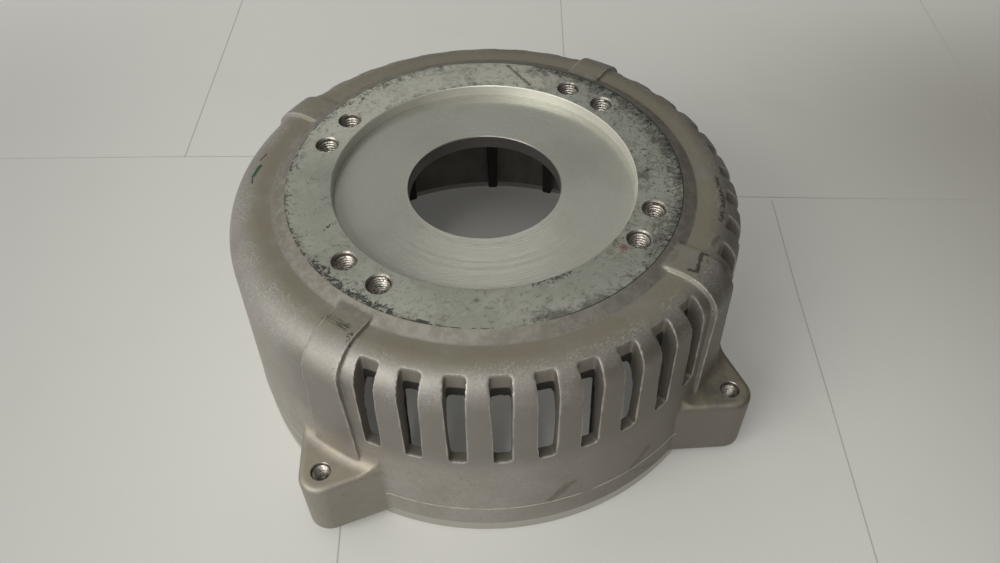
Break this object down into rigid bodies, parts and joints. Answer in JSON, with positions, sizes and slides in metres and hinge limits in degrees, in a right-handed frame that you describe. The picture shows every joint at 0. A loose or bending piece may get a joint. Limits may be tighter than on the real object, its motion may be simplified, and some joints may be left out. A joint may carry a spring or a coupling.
{
  "type": "vented bell housing",
  "caption": "Round cast bell housing with side air slots, foot lugs, and a machined mounting ring, pilot recess and bore on its closed end.",
  "frame": {"origin": "centre of the open base face, on the bell's axis", "axes": "+Z along the axis towards the mounting ring; the slotted sides face +X, +Y and -Y, the plain side -X, and the lugs stand at 45 degrees between them"},
  "size_m": [0.2532, 0.2532, 0.115],
  "materials": {
    "cast_aluminium": "as-cast, machined on the ring, recess, bore and rim",
    "coil_steel": "bright stainless wire"
  },
  "bodies": {
    "root": {"bell_housing": "cast_aluminium", "flange_insert_1": "coil_steel", "flange_insert_2": "coil_steel", "flange_insert_3": "coil_steel", "flange_insert_4": "coil_steel", "flange_insert_5": "coil_steel", "flange_insert_6": "coil_steel", "flange_insert_7": "coil_steel", "flange_insert_8": "coil_steel", "lug_insert_1": "coil_steel", "lug_insert_2": "coil_steel", "lug_insert_3": "coil_steel", "lug_insert_4": "coil_steel"}
  },
  "joints": []
}
